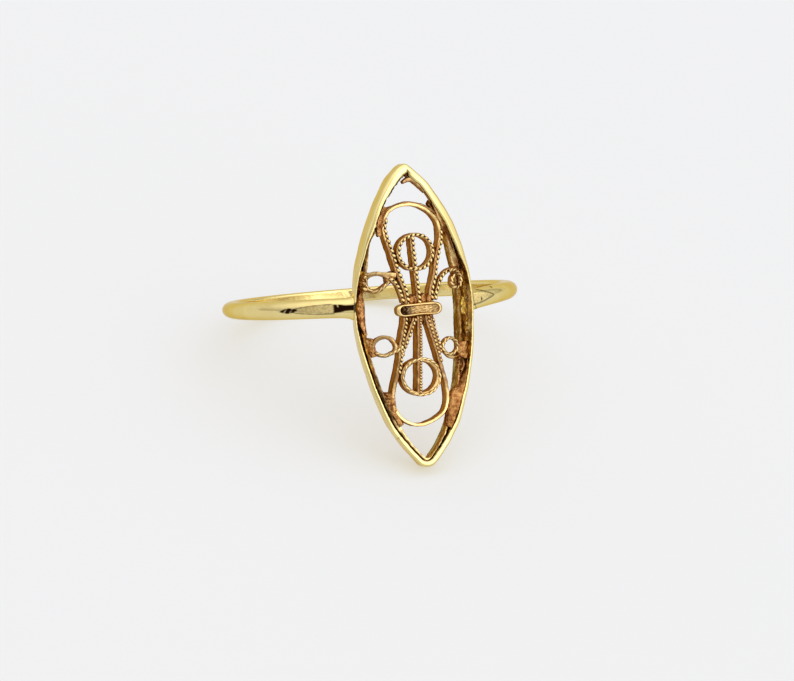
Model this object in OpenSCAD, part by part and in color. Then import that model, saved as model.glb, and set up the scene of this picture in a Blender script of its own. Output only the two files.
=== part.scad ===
// Openwork navette ring, at rest on a flat surface.
// It lies on the lower tip of its frame and on the back of its band.
// Ring frame before tilting: the finger axis is Z, the face looks along -Y.

/* [Band] */
// Inside diameter of the band
bore_d = 16.8; // [15:0.1:19]
// Outside width of the band from side to side
band_outer_d = 19; // [18.6:0.1:19.4]
// Radius of the round back of the wire
wire_r = 0.65; // [0.6:0.01:0.7]
// How much thicker the wire is at the face than at the back, as an offset
band_offset = 0.1; // [0:0.01:0.15]
// Width that the wire loses on each side from the face to the back
band_taper = 0.2; // [0.1:0.01:0.25]

/* [Frame] */
// Distance from the finger axis to the front of the frame
face_y = 10.4; // [10.2:0.05:10.6]
// Radius of the front of the frame, which is curved around the finger
face_r = 9.1; // [8.5:0.1:12]
// Half length of the pointed outline before its tips are blunted
frame_half_l = 9.7; // [9.5:0.05:9.9]
// Half length over the blunted tips
tip_half_l = 9.38; // [9.1:0.02:9.4]
// Half width of the outline at the front plane
frame_half_w = 4.22; // [4:0.02:4.4]
// Half length of the opening at the front plane
open_half_l = 8.85; // [8.7:0.05:8.95]
// Half width of the opening at the front plane
open_half_w = 3.8; // [3.6:0.02:3.85]
// How far the middle of the frame lies below the middle of the band
frame_drop = 0.84; // [0.4:0.02:1.2]
// Inward lean of the side walls for each millimetre of depth
wall_lean = 0.2; // [0.1:0.01:0.22]
// Distance from the finger axis to the back edge of the frame at its tips
frame_back_y = 9; // [8.8:0.05:9.1]
// Radius of the back edge, which is arched over the finger
frame_back_r = 5.4; // [5.3:0.05:5.8]

/* [Filigree] */
// Distance from the finger axis to the crown of the wirework
panel_y = 10.15; // [10.05:0.05:10.2]
// Radius of the crown of the wirework
panel_r = 5.1; // [5:0.1:6]
// Sideways place of the wirework in the frame
panel_x = 0.1; // [0:0.01:0.12]
// Depth of the flat wire, which stands on edge
wire_depth = 0.64; // [0.4:0.02:0.7]
// Thickness of the flat wire
wire_w = 0.26; // [0.24:0.01:0.3]
// Gap between the wirework and the frame
panel_gap = 0.04; // [0.02:0.01:0.08]
// Half length of the clear area inside the border
border_half_l = 8.45; // [8.3:0.05:8.5]
// Half width of the clear area inside the border
border_half_w = 3.1; // [3:0.02:3.14]
// Distance of each lyre's round end from the middle
lyre_z = 5.08; // [5:0.02:5.2]
// Radius of each lyre's round end, at the middle of its wire
lyre_r = 1.78; // [1.7:0.01:1.84]
// Half distance between the legs at the waist
waist_half_w = 0.6; // [0.5:0.01:0.7]
// Height of the waist above the middle of the frame
waist_z = 0.4; // [0.3:0.02:0.5]
// Distance of each small ring from the middle
ring_z = 3.84; // [3.7:0.02:4]
// Outer radius of each small ring
ring_r = 1.22; // [1.15:0.01:1.26]
// Outer radius of each corner loop
loop_r = 0.68; // [0.6:0.01:0.7]

/* [Collar] */
// Length of the collar across the waist
collar_l = 2.75; // [2.5:0.05:2.9]
// Height of the collar
collar_h = 0.86; // [0.7:0.02:0.95]
// How far the collar stands in front of the wirework
collar_rise = 0.38; // [0.25:0.01:0.45]
// Depth of the dished oval on the front of the collar
collar_dish = 0.1; // [0.05:0.01:0.15]

/* [Hidden] */
$fn = 64;
bore_r = bore_d / 2;
gold = "#D9BF72";
rose_gold = "#B5753A";

// The band is two mirrored half tori, each turned a little about the face end,
// so the round wire narrows towards the back.
band_centre_r = band_outer_d / 2 - wire_r;
face_inset = 0.02;
band_turn = asin((band_taper - face_inset) / (2 * band_centre_r));
band_face_y = -(band_centre_r + band_offset);
band_back_y = band_face_y + 2 * band_centre_r * cos(band_turn);
band_back_z = face_inset + 2 * band_centre_r * sin(band_turn);

// Radius and centre offset of the arcs of a pointed oval.
function arc_r(l, w) = (l * l + w * w) / (2 * w);
function arc_x(l, w) = arc_r(l, w) - w;

lean_angle = atan(wall_lean);
wall_mid_w = (frame_half_w + open_half_w) / 2;
wall_mid_l = (frame_half_l + open_half_l) / 2;
deep = 4;
tall = 30;

// The resting pose: the back edge of the lower tip and the round of the band touch the floor.
tip_y = -frame_back_y;
tip_z = -frame_drop - tip_half_l;
reach_y = band_back_y - tip_y;
reach_z = band_back_z - tip_z;
rest_tilt = atan2(reach_z, reach_y) - asin(wire_r / norm([reach_y, reach_z]));
rest_z = tip_y * sin(rest_tilt) - tip_z * cos(rest_tilt);
front_y = -face_y * cos(rest_tilt) - (frame_drop + tip_half_l) * sin(rest_tilt);
back_y = band_back_y * cos(rest_tilt) - band_back_z * sin(rest_tilt) + wire_r;
rest_y = -(front_y + back_y) / 2;

// Slope of a lyre's leg, which runs from the waist and meets the round end just inside its edge.
leg_r = lyre_r - 0.06;
leg_overlap = 0.3;
function leg_slope(dz) = asin(leg_r / norm([waist_half_w, dz])) - atan2(waist_half_w, dz);

// Corner scrolls, seen from the front and measured from the middle of the frame:
// the loop's centre, the bar's end at the border, its end at the leg, and the tail's end.
LOOP = 0;
BAR_OUT = 1;
BAR_IN = 2;
TAIL = 3;
scrolls = [
    [[-2.22, 2.22], [-2.85, 3.06], [-1.4, 2.6], [-0.72, 1.1]],
    [[2.4, 2.14], [3.0, 2.7], [1.5, 2.5], [0.72, 1.1]],
    [[-2.16, -1.74], [-3.1, -1.6], [-1.2, -2.2], [-0.72, -0.3]],
    [[2.24, -2.08], [3.06, -2.5], [1.3, -2.3], [0.72, -0.3]]
];

// Heights between which solder fills the corners beside the round ends of the lyres.
upper_web = [5.45, 6.75];
lower_web = [4.5, 6.5];

// Small beads of solder tie each ring to the legs beside it.
tie_r = 0.17;
tie_x = ring_r + 0.06;
tie_z = ring_z - 0.36;

// Solder that fills the waist behind the collar.
waist_w = 1.7;
waist_low = -0.32;
waist_h = 1.52;
panel_back_y = 7;

module at_rest() {
    translate([0, rest_y, rest_z])
        rotate([-rest_tilt, 0, 0])
            children();
}

// A pointed oval that runs through along Y, with sides that lean in towards the back.
module pointed_oval(half_l, half_w, inset) {
    across_w = half_w * cos(lean_angle);
    r = arc_r(half_l, across_w);
    centre_x = (r - across_w) / cos(lean_angle);
    intersection_for(side = [-1, 1])
        translate([side * centre_x, -face_y, -frame_drop])
            rotate([-90, 0, -side * lean_angle])
                cylinder(h = tall, r = r - inset, center = true, $fn = 180);
}

module half_wire() {
    intersection() {
        translate([0, band_face_y, face_inset])
            rotate([band_turn, 0, 0])
                translate([0, band_centre_r, 0])
                    rotate_extrude($fn = 180)
                        translate([band_centre_r, 0]) circle(r = wire_r);
        translate([-tall, -tall, -tall]) cube([2 * tall, 2 * tall, tall]);
    }
}

module band() {
    difference() {
        union() {
            half_wire();
            mirror([0, 0, 1]) half_wire();
        }
        cylinder(h = tall, r = bore_r, center = true, $fn = 180);
        pointed_oval(wall_mid_l, wall_mid_w, 0);
    }
}

module frame_wall() {
    difference() {
        intersection() {
            pointed_oval(frame_half_l, frame_half_w, 0);
            translate([0, -face_y, -frame_drop])
                rotate([90, 0, 0])
                    cylinder(h = 2 * deep, r = tip_half_l, center = true, $fn = 180);
            translate([0, face_r - face_y, 0])
                cylinder(h = tall, r = face_r, center = true, $fn = 180);
        }
        pointed_oval(open_half_l, open_half_w, 0);
        translate([0, frame_back_r - frame_back_y, 0])
            cylinder(h = tall, r = frame_back_r, center = true, $fn = 180);
    }
}

module shank_and_frame() {
    color(gold)
        at_rest()
            union() {
                band();
                frame_wall();
            }
}

// Flat pattern of the wirework, seen from the front.
module bar(from, to) {
    run = to - from;
    translate(from)
        rotate(atan2(run[1], run[0]))
            translate([0, -wire_w / 2])
                square([norm(run), wire_w]);
}

module loop_ring(r) {
    difference() {
        circle(r = r);
        circle(r = r - wire_w);
    }
}

module oval_area(half_l, half_w) {
    intersection() {
        translate([-arc_x(half_l, half_w), 0]) circle(r = arc_r(half_l, half_w), $fn = 180);
        translate([arc_x(half_l, half_w), 0]) circle(r = arc_r(half_l, half_w), $fn = 180);
    }
}

// One lyre above the waist: a round end, two straight legs, and a ring with its stem.
module lyre(rise) {
    slope = leg_slope(lyre_z - rise);
    touch = [
        leg_r * cos(slope) + leg_overlap * sin(slope),
        lyre_z - leg_r * sin(slope) + leg_overlap * cos(slope)
    ];
    far = 3;
    translate([0, lyre_z])
        difference() {
            loop_ring(lyre_r + wire_w / 2);
            polygon([
                [0, 0],
                [far * cos(slope), -far * sin(slope)],
                [far * cos(slope), -far],
                [-far * cos(slope), -far],
                [-far * cos(slope), -far * sin(slope)]
            ]);
        }
    for (side = [-1, 1]) {
        bar([side * waist_half_w, rise], [side * touch[0], touch[1]]);
        translate([side * tie_x, tie_z]) circle(r = tie_r);
    }
    translate([0, ring_z]) loop_ring(ring_r);
    bar([0, rise], [0, ring_z + ring_r - wire_w / 2]);
}

// Solder that fills the narrow corner between a lyre's round end and the border.
module solder_webs(span) {
    difference() {
        intersection() {
            oval_area(border_half_l, border_half_w + wire_w / 2);
            translate([-border_half_w, span[0]]) square([2 * border_half_w, span[1] - span[0]]);
        }
        translate([0, lyre_z]) circle(r = lyre_r);
        translate([-lyre_r / 2, 0]) square([lyre_r, lyre_z]);
    }
}

module corner_scroll(row) {
    translate(row[LOOP]) loop_ring(loop_r);
    bar(row[BAR_OUT], row[BAR_IN]);
    bar(row[TAIL], row[BAR_IN]);
}

module wire_pattern() {
    difference() {
        oval_area(frame_half_l, frame_half_w);
        oval_area(border_half_l, border_half_w);
    }
    lyre(waist_z);
    mirror([0, 1]) lyre(-waist_z);
    solder_webs(upper_web);
    mirror([0, 1]) solder_webs(lower_web);
    for (row = scrolls) corner_scroll(row);
    translate([-waist_w / 2, waist_low]) square([waist_w, waist_h]);
}

module filigree_panel() {
    color(rose_gold)
        at_rest()
            intersection() {
                translate([panel_x, -panel_back_y, -frame_drop])
                    rotate([90, 0, 0])
                        linear_extrude(deep) wire_pattern();
                difference() {
                    translate([0, panel_r - panel_y, 0])
                        cylinder(h = tall, r = panel_r, center = true, $fn = 180);
                    translate([0, panel_r - panel_y, 0])
                        cylinder(h = tall + 1, r = panel_r - wire_depth, center = true, $fn = 180);
                }
                pointed_oval(open_half_l, open_half_w, panel_gap);
            }
}

// A strap bent over the waist, with a dished oval on its front.
module centre_collar() {
    front = panel_y + collar_rise;
    wrap = collar_rise + wire_depth + 0.15;
    inside_w = waist_w + 2 * panel_gap;
    mid_z = waist_z - frame_drop;
    dish_h = 0.6 * collar_h;
    dish_l = collar_l - 0.4;
    color(rose_gold)
        at_rest()
            difference() {
                translate([panel_x - collar_l / 2, -front, mid_z - collar_h / 2])
                    cube([collar_l, wrap, collar_h]);
                translate([0, panel_r - panel_y, 0])
                    cylinder(h = tall, r = panel_r + panel_gap, center = true, $fn = 180);
                translate([panel_x - inside_w / 2, -panel_y, mid_z - collar_h])
                    cube([inside_w, deep, 2 * collar_h]);
                translate([panel_x, -front + collar_dish, mid_z])
                    rotate([90, 0, 0])
                        linear_extrude(1)
                            union() {
                                square([dish_l - dish_h, dish_h], center = true);
                                for (side = [-1, 1])
                                    translate([side * (dish_l - dish_h) / 2, 0])
                                        circle(r = dish_h / 2);
                            }
            }
}

shank_and_frame();
filigree_panel();
centre_collar();
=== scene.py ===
# %% [markdown]
# # An openwork ring in old gold
# A slim round band carries a tall pointed-oval frame of polished gold strip. Inside the frame
# stands wirework: flat wires on edge, most with a row of tiny grains along the front, bent into
# two lyres, two small rings and four corner scrolls, and tied at the waist by a little collar.
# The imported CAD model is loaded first, because it fixes every size and place. The looks are then
# built over it, each piece as a surface worked out with numpy.

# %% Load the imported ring
import math

import bpy
import numpy as np
from mathutils import Matrix, Vector


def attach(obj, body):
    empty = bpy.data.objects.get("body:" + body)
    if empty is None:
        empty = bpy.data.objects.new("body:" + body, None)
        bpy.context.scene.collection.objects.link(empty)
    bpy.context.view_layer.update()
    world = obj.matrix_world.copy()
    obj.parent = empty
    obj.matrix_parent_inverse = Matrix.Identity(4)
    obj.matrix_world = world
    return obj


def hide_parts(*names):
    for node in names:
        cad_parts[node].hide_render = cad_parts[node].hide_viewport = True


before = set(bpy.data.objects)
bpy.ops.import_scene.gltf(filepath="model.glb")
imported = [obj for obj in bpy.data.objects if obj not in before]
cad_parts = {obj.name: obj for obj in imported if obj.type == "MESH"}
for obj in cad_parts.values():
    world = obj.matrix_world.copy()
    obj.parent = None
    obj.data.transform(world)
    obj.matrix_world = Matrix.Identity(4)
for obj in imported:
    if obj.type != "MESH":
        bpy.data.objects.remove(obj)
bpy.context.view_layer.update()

print("CAD nodes", sorted(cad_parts))

# %% [markdown]
# ## Where the ring lies
# A ring is drawn most easily upright: finger hole along Z, face towards -Y, in millimetres. At
# rest it has tipped back until the lower tip of the frame and the round of the band touch the
# table. One turn about X and one move take every point to that pose, so all pieces share them.

# %% The rest pose, from the ring's own sizes
MM = 0.001
BORE_R = 8.4
BAND_R = 8.85  # to the middle of the band's wire
WIRE_R = 0.65
BAND_FACE_Y = -8.95  # the middle of the wire, at the face
CROWN_Y = -10.4  # the frame's front, in its middle
FRAME_DROP = 0.84  # the frame hangs lower than the band by this
TIP_Y = -9.0
TIP_HALF_L = 9.38
FACE_INSET = 0.02  # filed off each side of the wire, at the face
BACK_INSET = 0.2  # and at the back

band_turn = math.asin((BACK_INSET - FACE_INSET) / (2 * BAND_R))
band_back_y = BAND_FACE_Y + 2 * BAND_R * math.cos(band_turn)
tip_z = -FRAME_DROP - TIP_HALF_L
tip_to_back = (band_back_y - TIP_Y, BACK_INSET - tip_z)
tilt = math.atan2(tip_to_back[1], tip_to_back[0]) - math.asin(WIRE_R / math.hypot(*tip_to_back))
rest_z = TIP_Y * math.sin(tilt) - tip_z * math.cos(tilt)
front_reach = CROWN_Y * math.cos(tilt) + tip_z * math.sin(tilt)
back_reach = band_back_y * math.cos(tilt) - BACK_INSET * math.sin(tilt) + WIRE_R
rest_y = -(front_reach + back_reach) / 2


def at_rest(points):
    """Points of the upright drawing, in mm, as points at rest, in metres.
    The tilt turns y and z about X, and one move sets the ring on the table."""
    x, y, z = np.moveaxis(np.asarray(points, float), -1, 0)
    cos, sin = math.cos(tilt), math.sin(tilt)
    return np.stack([x, y * cos + z * sin + rest_y, z * cos - y * sin + rest_z], -1) * MM


print("tilt", round(math.degrees(tilt), 3), "degrees; finger axis", round(rest_z, 3), "mm up")

# %% [markdown]
# ## From a grid of points to a piece
# Every shape below is a grid: rows of points, each row a closed ring. Joining the rows gives a
# skin, which either runs on into its own start, like the frame, or ends in a fan at each end. The
# signed volume tells whether the faces look outwards, so one that came inside out is turned.

# %% Skins and pieces


def skin(grid, loop=False, **marks):
    """A closed skin over rows of points: quads join each row to the next.
    A skin that doesn't loop is closed by a fan to the mean point at each end."""
    rows, around = grid.shape[:2]
    index = np.arange(rows * around).reshape(rows, around)
    here, there = (index, np.roll(index, -1, 0)) if loop else (index[:-1], index[1:])
    quads = np.stack([here, np.roll(here, -1, 1), np.roll(there, -1, 1), there], -1).reshape(-1, 4)
    points = grid.reshape(-1, 3)
    marks = {name: np.broadcast_to(value, (rows, around)).reshape(-1)
             for name, value in marks.items()}
    tris = np.zeros((0, 3), int)
    if not loop:
        ends = np.stack([grid[0].mean(0), grid[-1].mean(0)])
        first = np.stack([np.full(around, rows * around), np.roll(index[0], -1), index[0]], -1)
        last = np.stack([np.full(around, rows * around + 1), index[-1], np.roll(index[-1], -1)], -1)
        points, tris = np.concatenate([points, ends]), np.concatenate([first, last])
        marks = {name: np.append(value, [value[:around].mean(), value[-around:].mean()])
                 for name, value in marks.items()}
    halves = np.concatenate([quads[:, :3], quads[:, [0, 2, 3]], tris])
    a, b, c = (points[halves[:, k]] for k in range(3))
    if np.einsum("ij,ij->", a, np.cross(b, c)) < 0:
        quads, tris = quads[:, ::-1], tris[:, ::-1]
    return points, quads, tris, marks


def make_piece(name, skins, material, stands_for):
    """Skins joined into one mesh object at the origin, with a point attribute for each mark."""
    points, quads, tris, start = [], [], [], 0
    marks = {"wear": [], "soot": []}
    for skin_points, skin_quads, skin_tris, skin_marks in skins:
        points.append(skin_points)
        quads.append(skin_quads + start)
        tris.append(skin_tris + start)
        for mark, values in marks.items():
            values.append(skin_marks.get(mark, np.zeros(len(skin_points))))
        start += len(skin_points)
    quads, tris = np.concatenate(quads), np.concatenate(tris)
    corners = np.concatenate([quads.ravel(), tris.ravel()]).astype(np.int32)
    sizes = np.concatenate([np.full(len(quads), 4), np.full(len(tris), 3)]).astype(np.int32)
    mesh = bpy.data.meshes.new(name)
    mesh.vertices.add(start)
    mesh.vertices.foreach_set("co", at_rest(np.concatenate(points)).astype(np.float32).ravel())
    mesh.loops.add(len(corners))
    mesh.loops.foreach_set("vertex_index", corners)
    mesh.polygons.add(len(sizes))
    mesh.polygons.foreach_set("loop_start", (np.cumsum(sizes) - sizes).astype(np.int32))
    mesh.polygons.foreach_set("loop_total", sizes)
    mesh.update(calc_edges=True)
    mesh.validate()
    mesh.polygons.foreach_set("use_smooth", np.ones(len(sizes), bool))
    for mark, values in marks.items():
        layer = mesh.attributes.new(mark, "FLOAT", "POINT")
        layer.data.foreach_set("value", np.clip(np.concatenate(values), 0, 1).astype(np.float32))
    mesh.materials.append(material)
    made = bpy.data.objects.new(name, mesh)
    bpy.context.scene.collection.objects.link(made)
    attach(made, "root")
    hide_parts(stands_for)
    print(name, "has", len(quads) * 2 + len(tris), "triangles")
    return made


WAVES, WAVE_GAIN = 6, 1.7


def waver(points, size, seed):
    """A smooth wandering value about 0: the mean of six sine waves of the position in mm.
    They are about size long, in seeded directions, and the gain brings their mean to about 1."""
    draw = np.random.default_rng(seed)
    directions = draw.normal(size=(WAVES, 3))
    directions *= (2 * math.pi / size / np.linalg.norm(directions, axis=1))[:, None]
    directions *= draw.uniform(0.6, 1.5, WAVES)[:, None]
    phases = np.asarray(points) @ directions.T + draw.uniform(0, 6.3, WAVES)
    return np.sin(phases).mean(-1) * WAVE_GAIN


def smooth_step(low, high, value):
    """0 below low, 1 above high, and an S-shaped rise between them."""
    t = np.clip((value - low) / (high - low), 0, 1)
    return t * t * (3 - 2 * t)


# %% [markdown]
# ## Materials
# All the metal is 14 carat gold, but it has lived two lives. The band, the outer wall and the front
# edge were polished and stay bright. The wirework is a redder gold that no cloth reaches, so
# it keeps a brown tarnish with light only on the grains. Both are metals: full metallic, the colour
# in the base colour, and everything else in roughness and a very small bump. Two marks painted on
# the points by the shapes below say how worn bright each place is, and how dark it is from soot and
# from painted shade.

# %% Colours and nodes


def colour(code):
    """An sRGB hex colour as the linear red, green, blue and alpha that a socket wants."""
    channels = [int(code[k:k + 2], 16) / 255 for k in (1, 3, 5)]
    return [c / 12.92 if c <= 0.04045 else ((c + 0.055) / 1.055) ** 2.4 for c in channels] + [1.0]


def add_node(tree, kind, inputs=None, **settings):
    """One node with its settings; an input is a value, or another node's output socket to link."""
    made = tree.nodes.new(kind)
    for key, value in settings.items():
        setattr(made, key, value)
    for key, value in (inputs or {}).items():
        if isinstance(value, bpy.types.NodeSocket):
            tree.links.new(value, made.inputs[key])
        else:
            made.inputs[key].default_value = value
    return made


def per_mm(size_mm):
    """The texture scale that makes a pattern about size_mm long on Object coordinates in metres."""
    return 1 / (size_mm * MM)


# %% [markdown]
# ## Three finishes from one recipe
# The finishes differ only in degree: how red the metal is, how brown its tarnish, how coarse its
# grain. Three noises with sizes in millimetres break up the colours: slow clouds in the alloy,
# blots in the tarnish, and a fine grain that also lifts the surface. The grain is added to the
# painted wear, so the border between bright and brown is ragged, as rubbing leaves it.

# %% The three finishes of the gold
CLOUD_MM, BLOT_MM = 1.1, 0.45
WORN_FROM, WORN_TO = 0.55, 1.15  # wear plus grain, from full tarnish to bare metal


def gold_finish(name, bright, deep, tarnish, sooty, rim, rough, grain_mm, grain_depth_mm, bump):
    """A metal whose colour runs from deep to bright with the clouds.
    It turns to tarnish, two colours that the blots blend, where wear is low, and to a dark colour
    where the soot and painted shade mark is. Roughness falls from its first value to its second
    with the wear."""
    material = bpy.data.materials.new(name)
    material.use_nodes = True
    tree = material.node_tree
    shader = tree.nodes["Principled BSDF"]
    shader.inputs["Metallic"].default_value = 1.0
    shader.inputs["Specular Tint"].default_value = colour(rim)
    place = add_node(tree, "ShaderNodeTexCoord").outputs["Object"]
    wear = add_node(tree, "ShaderNodeAttribute", attribute_name="wear").outputs["Fac"]
    soot = add_node(tree, "ShaderNodeAttribute", attribute_name="soot").outputs["Fac"]
    clouds, grain, blots = (
        add_node(tree, "ShaderNodeTexNoise",
                 {"Vector": place, "Scale": per_mm(size), "Detail": detail}).outputs["Fac"]
        for size, detail in ((CLOUD_MM, 3.0), (grain_mm, 4.0), (BLOT_MM, 3.0)))
    metal = add_node(tree, "ShaderNodeMix", {0: clouds, 6: colour(deep), 7: colour(bright)},
                     data_type="RGBA")
    ragged = add_node(tree, "ShaderNodeMath", {0: wear, 1: grain}, operation="ADD")
    worn = add_node(tree, "ShaderNodeMapRange",
                    {0: ragged.outputs[0], 1: WORN_FROM, 2: WORN_TO}).outputs[0]
    stained = add_node(tree, "ShaderNodeMix",
                       {0: blots, 6: colour(tarnish[0]), 7: colour(tarnish[1])}, data_type="RGBA")
    rubbed = add_node(tree, "ShaderNodeMix",
                      {0: worn, 6: stained.outputs[2], 7: metal.outputs[2]}, data_type="RGBA")
    # The dark colour is mixed in by the mark that holds both soot and painted shade.
    soot_and_shade_mix = add_node(tree, "ShaderNodeMix", {0: soot, 6: rubbed.outputs[2], 7: colour(sooty)},
                     data_type="RGBA")
    dulled = add_node(tree, "ShaderNodeMapRange", {0: worn, 3: rough[0], 4: rough[1]})
    lift = add_node(tree, "ShaderNodeBump",
                    {"Height": grain, "Strength": bump, "Distance": grain_depth_mm * MM})
    tree.links.new(soot_and_shade_mix.outputs[2], shader.inputs["Base Color"])
    tree.links.new(dulled.outputs[0], shader.inputs["Roughness"])
    tree.links.new(lift.outputs["Normal"], shader.inputs["Normal"])
    return material


# Hand-polished 14 carat yellow gold: a soft mirror, its hairline wear only blurs the reflections.
polished_gold = gold_finish(
    "polished_14_carat_gold", bright="#F0E1A2", deep="#DEC680", tarnish=("#5E3814", "#AA7438"),
    sooty="#221006", rim="#EAD69A", rough=(0.42, 0.16), grain_mm=0.12, grain_depth_mm=0.01,
    bump=0.12)
# Drawn and beaded wire in redder gold, tarnished brown: gloss only where it is rubbed.
wire_gold = gold_finish(
    "tarnished_wirework_gold", bright="#F6DFA0", deep="#E4BA74", tarnish=("#945E30", "#D2A26C"),
    sooty="#241006", rim="#AC8660", rough=(0.38, 0.17), grain_mm=0.09, grain_depth_mm=0.02,
    bump=0.3)
# Hard solder that ran between the wires: pitted, rose coloured and never polished.
rose_solder = gold_finish(
    "rose_hard_solder", bright="#CC9C62", deep="#A8723C", tarnish=("#6E3C1A", "#9C6638"),
    sooty="#1E0E05", rim="#98703C", rough=(0.45, 0.25), grain_mm=0.13, grain_depth_mm=0.09,
    bump=0.9)
print("finishes", [finish.name for finish in (polished_gold, wire_gold, rose_solder)])

# %% [markdown]
# ## The frame round the wirework
# The goldsmith bent flat strip on its edge into a pointed oval, a shape known as a navette. In the
# drawing each side is one arc and each tip a small round. Choosing points by the direction of their
# outward normal makes both easy: a side point is its arc's centre plus the radius along the normal,
# and a tip point is the small round's centre plus its radius.

# %% Pointed ovals and the curved fronts
SIDE_R = 13.26
SIDE_X = 9.04
TIP_R = 0.79


def pointed_oval(angle, side_r, centre_x, tip_r):
    """Points of a pointed oval by normal angle, as x and z.
    On a side it is the arc's centre plus its radius times the normal, and likewise at a tip."""
    nx, nz = np.cos(angle), np.sin(angle)
    corner_z = math.sqrt((side_r - tip_r) ** 2 - centre_x ** 2)
    at_tip = np.abs(nz) * centre_x > np.abs(nx) * corner_z
    x = np.where(at_tip, tip_r * nx, side_r * nx - np.sign(nx) * centre_x)
    z = np.where(at_tip, np.sign(nz) * corner_z + tip_r * nz, side_r * nz)
    return x, z


def arc_y(x, centre, radius, limit):
    """Front of an arc about a line that runs parallel to the finger, centre in front of it.
    That is the centre plus the root of radius squared less x squared, level past the limit."""
    return -(centre + np.sqrt(radius ** 2 - np.minimum(np.abs(x), limit) ** 2))


def face_y(x):
    """Front of the frame: an arc of radius 9.1, 10.4 in front of the finger's axis at most."""
    return arc_y(x, 1.3, 9.1, 8)


def rim_back_y(x):
    """Back edge of the frame: a tighter arc, so that the walls are deepest at the sides."""
    return arc_y(x, 3.6, 5.4, 5)


def panel_y(x):
    """Front of the wirework: an arc whose crown is 10.15 in front of the finger's axis."""
    return arc_y(x, 5.05, 5.1, 4.9)


# Normal angles once round, clockwise from the upper tip as seen from the front.
side_turn = math.atan2(math.sqrt((SIDE_R - TIP_R) ** 2 - SIDE_X ** 2), SIDE_X)
tip_turns = np.linspace(math.pi / 2, side_turn, 24, endpoint=False)
side_turns = np.linspace(side_turn, 0, 150, endpoint=False)
right_top = np.concatenate([tip_turns, side_turns])
right_half = np.concatenate([right_top, -np.append(right_top, 0)[::-1][:-1]])
turn = np.concatenate([right_half, right_half - math.pi])
nx, nz = np.cos(turn), np.sin(turn)
out_x, out_z = pointed_oval(turn, SIDE_R, SIDE_X, TIP_R)
steps = np.hypot(np.diff(out_x, append=out_x[0]), np.diff(out_z, append=out_z[0]))
hour = 12 * (np.cumsum(steps) - steps) / steps.sum()
print("frame outline", len(turn), "points, once round", round(steps.sum(), 2), "mm")

# %% [markdown]
# The strip isn't even. The front edge is thick towards the tips and worn or filed to a thin line at
# the sides, and its walls lean in towards the back, except at the upper left. So the section is a
# rounded rectangle whose thickness and lean follow the hour, as on a clock face.

# %% The frame's section


def round_the_clock(table, blur=9):
    """Values at hours of a clock face, joined in straight lines, then blurred a little."""
    hours, values = np.array(table, float).T
    line = np.interp(hour, np.append(hours, 12 + hours[0]), np.append(values, values[0]))
    kernel = np.hanning(2 * blur + 3)[1:-1]
    padded = np.concatenate([line[-blur:], line, line[:blur]])
    return np.convolve(padded, kernel / kernel.sum(), "valid")


def at_hours(start, full, fading, end):
    """A column for the outline: 1 from full to fading, 0 before start and after end."""
    return (smooth_step(start, full, hour) * smooth_step(end, fading, hour))[:, None]


# All in mm by hour: the outline pulled in, the front edge, the lean by depth, and the back edge.
PULLED_IN = [
    (0, -0.09), (0.1, 0.1), (0.28, 0.12), (0.5, 0), (0.9, 0.04), (1.3, 0.0), (1.7, 0.05),
    (2, 0.1), (2.4, 0.14), (2.8, 0.2), (3.2, 0.3), (4, 0.24), (4.5, 0.16), (5, -0.03),
    (5.7, -0.04), (6.3, 0.05), (7, 0.1), (7.4, 0.28), (8, 0.44), (8.5, 0.44), (9.2, 0.42),
    (10.2, 0.43), (10.8, 0.27), (11.2, 0.1), (11.45, 0.0), (11.65, -0.08), (11.8, -0.03),
    (11.93, -0.02),
]
EDGE_THICKNESS = [
    (0, 0.62), (0.4, 0.48), (0.6, 0.56), (0.9, 0.58), (1.5, 0.52), (1.75, 0.45), (2, 0.36),
    (2.2, 0.2), (2.5, 0.14), (3, 0.1), (3.6, 0.16), (4.3, 0.21), (4.9, 0.28), (5.1, 0.33),
    (5.4, 0.36), (6, 0.38), (6.3, 0.31), (7, 0.3), (7.6, 0.28), (8.4, 0.24), (8.9, 0.12),
    (9.3, 0.1), (9.6, 0.13), (10, 0.21), (10.3, 0.26), (10.7, 0.44), (11.2, 0.45), (11.6, 0.64),
]
WALL_LEAN = [
    (0, 0.12), (0.4, 0.05), (1, 0.02), (1.4, 0.2), (5, 0.2), (6, 0.12), (7, 0.2), (9.4, 0.2),
    (10, 0.12), (11.3, 0.1), (11.7, 0.06),
]
BACK_THICKNESS = [(0, 0.34), (0.5, 0.18), (1.1, 0.18), (1.4, 0.34), (11.7, 0.34)]
BACK_BLEND = (0.05, 1.3)  # depths between which the front thickness becomes that of the back
CORNER_STEPS = 7


def strip_section(thickness, depth, front_out, front_in, back, walls):
    """A rounded rectangle for each row, from its thickness, depth and three corner radii.
    Across goes from 0 outside to the thickness inside, down from 0 in front to the depth."""
    bend = np.linspace(0, math.pi / 2, CORNER_STEPS)
    run = np.linspace(0, 1, walls + 2)[1:-1]
    one = np.ones_like
    t, d, fo, fi, b = (value[:, None] for value in np.broadcast_arrays(
        thickness, depth, front_out, front_in, back))
    across = np.concatenate([
        0 * t * one(run), fo - fo * np.cos(bend), fo + (t - fo - fi) * run[::3],
        t - fi + fi * np.sin(bend), t * one(run), t - b + b * np.cos(bend),
        t - b - (t - 2 * b) * run[::5], b - b * np.sin(bend)], 1)
    down = np.concatenate([
        d - b - (d - b - fo) * run, fo - fo * np.sin(bend), 0 * t * one(run[::3]),
        fi - fi * np.cos(bend), fi + (d - b - fi) * run, d - b + b * np.sin(bend),
        d * one(run[::5]), d - b + b * np.cos(bend)], 1)
    return across, down


# %% [markdown]
# The section is carried round the outline along its normals, and every point is set back to the
# arc of the face, because the strip bends round the finger. Small waves dent it, as a hand-bent
# strip is never flat, and they are deeper at the upper left, where it was hurt.

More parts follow.
